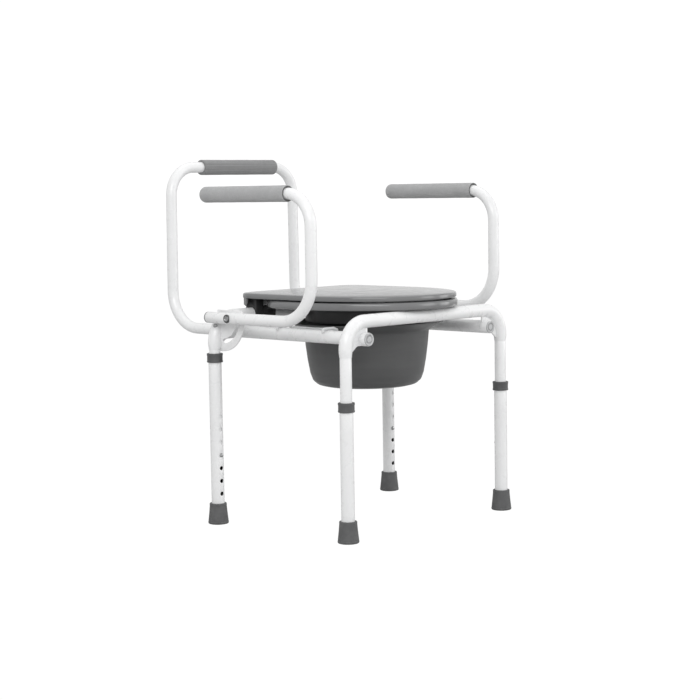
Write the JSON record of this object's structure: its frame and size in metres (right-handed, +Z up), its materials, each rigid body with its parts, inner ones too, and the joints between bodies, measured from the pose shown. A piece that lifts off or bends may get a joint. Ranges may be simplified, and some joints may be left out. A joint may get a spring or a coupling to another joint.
{
  "type": "commode chair",
  "caption": "Drop-arm commode chair with tubular frame, telescoping legs, hinged seat and lid, slide-out pail, foam arm and back grips.",
  "frame": {"origin": "centre of the footprint box, on the floor", "axes": "+Z up, -Y towards the front of the chair, +X towards the sitter's left"},
  "size_m": [0.5526, 0.5909, 0.7184],
  "materials": {
    "white_paint": "semi-gloss powder coat",
    "wire_paint": "powder coated steel wire",
    "bare_steel": "zinc plated steel",
    "grip_foam": "closed-cell foam, fine pores",
    "seat_plastic": "glossy moulded plastic",
    "pail_plastic": "satin moulded plastic",
    "dark_plastic": "moulded nylon",
    "cap_plastic": "moulded plastic plug",
    "tip_rubber": "moulded rubber"
  },
  "bodies": {
    "frame": {"front_crossbar": "white_paint", "rear_crossbar": "white_paint", "upper_leg_front_left": "white_paint", "upper_leg_front_right": "white_paint", "upper_leg_rear_left": "white_paint", "upper_leg_rear_right": "white_paint", "side_rail_left": "white_paint", "side_rail_right": "white_paint", "rail_cap_left": "cap_plastic", "rail_cap_right": "cap_plastic", "front_gusset_left": "white_paint", "front_gusset_right": "white_paint", "rear_gusset_left": "white_paint", "rear_gusset_right": "white_paint", "quadrant_plate_left": "white_paint", "quadrant_plate_right": "white_paint", "pivot_washer_left": "dark_plastic", "pivot_washer_right": "dark_plastic", "backrest_tube": "white_paint", "backrest_grip": "grip_foam", "back_bolt_left": "bare_steel", "back_bolt_right": "bare_steel", "pail_support_wire_left": "wire_paint", "pail_support_wire_right": "wire_paint"},
    "leg_front_left": {"lower_leg_front_left": "white_paint", "leg_collar_front_left": "dark_plastic", "leg_tip_front_left": "tip_rubber"},
    "leg_front_right": {"lower_leg_front_right": "white_paint", "leg_collar_front_right": "dark_plastic", "leg_tip_front_right": "tip_rubber"},
    "leg_rear_left": {"lower_leg_rear_left": "white_paint", "leg_collar_rear_left": "dark_plastic", "leg_tip_rear_left": "tip_rubber"},
    "leg_rear_right": {"lower_leg_rear_right": "white_paint", "leg_collar_rear_right": "dark_plastic", "leg_tip_rear_right": "tip_rubber"},
    "button_front_left": {"snap_button_front_left": "bare_steel"},
    "button_front_right": {"snap_button_front_right": "bare_steel"},
    "button_rear_left": {"snap_button_rear_left": "bare_steel"},
    "button_rear_right": {"snap_button_rear_right": "bare_steel"},
    "arm_left": {"arm_tube_left": "white_paint", "arm_grip_left": "grip_foam", "arm_end_plug_left": "cap_plastic", "pivot_bolt_left": "bare_steel"},
    "arm_right": {"arm_tube_right": "white_paint", "arm_grip_right": "grip_foam", "arm_end_plug_right": "cap_plastic", "pivot_bolt_right": "bare_steel"},
    "lock_left": {"lock_button_left": "bare_steel"},
    "lock_right": {"lock_button_right": "bare_steel"},
    "seat": {"seat_ring": "seat_plastic", "splash_guard": "pail_plastic", "seat_clip_left": "dark_plastic", "seat_clip_right": "dark_plastic", "seat_buffer_left": "tip_rubber", "seat_buffer_right": "tip_rubber"},
    "lid": {"lid": "seat_plastic", "lid_clip_left": "dark_plastic", "lid_clip_right": "dark_plastic"},
    "pail": {"pail": "pail_plastic"}
  },
  "joints": [
    {"name": "leg_front_left_extend", "type": "slide", "parent": "frame", "child": "leg_front_left", "axis": [0, 0, -1], "range_m": [-0.0762, 0.0762], "deforming": ["snap_button_front_left"]},
    {"name": "leg_front_right_extend", "type": "slide", "parent": "frame", "child": "leg_front_right", "axis": [0, 0, -1], "range_m": [-0.0762, 0.0762], "deforming": ["snap_button_front_right"]},
    {"name": "leg_rear_left_extend", "type": "slide", "parent": "frame", "child": "leg_rear_left", "axis": [0, 0, -1], "range_m": [0, 0.0762], "deforming": ["snap_button_rear_left"]},
    {"name": "leg_rear_right_extend", "type": "slide", "parent": "frame", "child": "leg_rear_right", "axis": [0, 0, -1], "range_m": [0, 0.0762], "deforming": ["snap_button_rear_right"]},
    {"name": "button_front_left_press", "type": "slide", "parent": "frame", "child": "button_front_left", "axis": [0, -1, 0], "range_m": [0, 0.0038], "stiffness_N_per_m": 1200},
    {"name": "button_front_right_press", "type": "slide", "parent": "frame", "child": "button_front_right", "axis": [0, -1, 0], "range_m": [0, 0.0038], "stiffness_N_per_m": 1200},
    {"name": "button_rear_left_press", "type": "slide", "parent": "frame", "child": "button_rear_left", "axis": [0, 1, 0], "range_m": [0, 0.0038], "stiffness_N_per_m": 1200},
    {"name": "button_rear_right_press", "type": "slide", "parent": "frame", "child": "button_rear_right", "axis": [0, 1, 0], "range_m": [0, 0.0038], "stiffness_N_per_m": 1200},
    {"name": "arm_left_drop", "type": "hinge", "parent": "frame", "child": "arm_left", "pos_m": [0.2608, 0.0536, 0.4085], "axis": [1, 0, 0], "range_deg": [0, 84]},
    {"name": "arm_right_drop", "type": "hinge", "parent": "frame", "child": "arm_right", "pos_m": [-0.2608, 0.0536, 0.4085], "axis": [1, 0, 0], "range_deg": [0, 84]},
    {"name": "lock_left_press", "type": "slide", "parent": "arm_left", "child": "lock_left", "axis": [-1, 0, 0], "range_m": [0, 0.005], "stiffness_N_per_m": 900},
    {"name": "lock_right_press", "type": "slide", "parent": "arm_right", "child": "lock_right", "axis": [1, 0, 0], "range_m": [0, 0.005], "stiffness_N_per_m": 900},
    {"name": "seat_lift", "type": "hinge", "parent": "frame", "child": "seat", "pos_m": [0, 0.0706, 0.4085], "axis": [-1, 0, 0], "range_deg": [0, 112]},
    {"name": "lid_lift", "type": "hinge", "parent": "seat", "child": "lid", "pos_m": [0, 0.0706, 0.4085], "axis": [1, 0, 0], "range_deg": [-112, 0]},
    {"name": "pail_pull_out", "type": "slide", "parent": "frame", "child": "pail", "axis": [0, -1, 0], "range_m": [0, 0.32]}
  ]
}
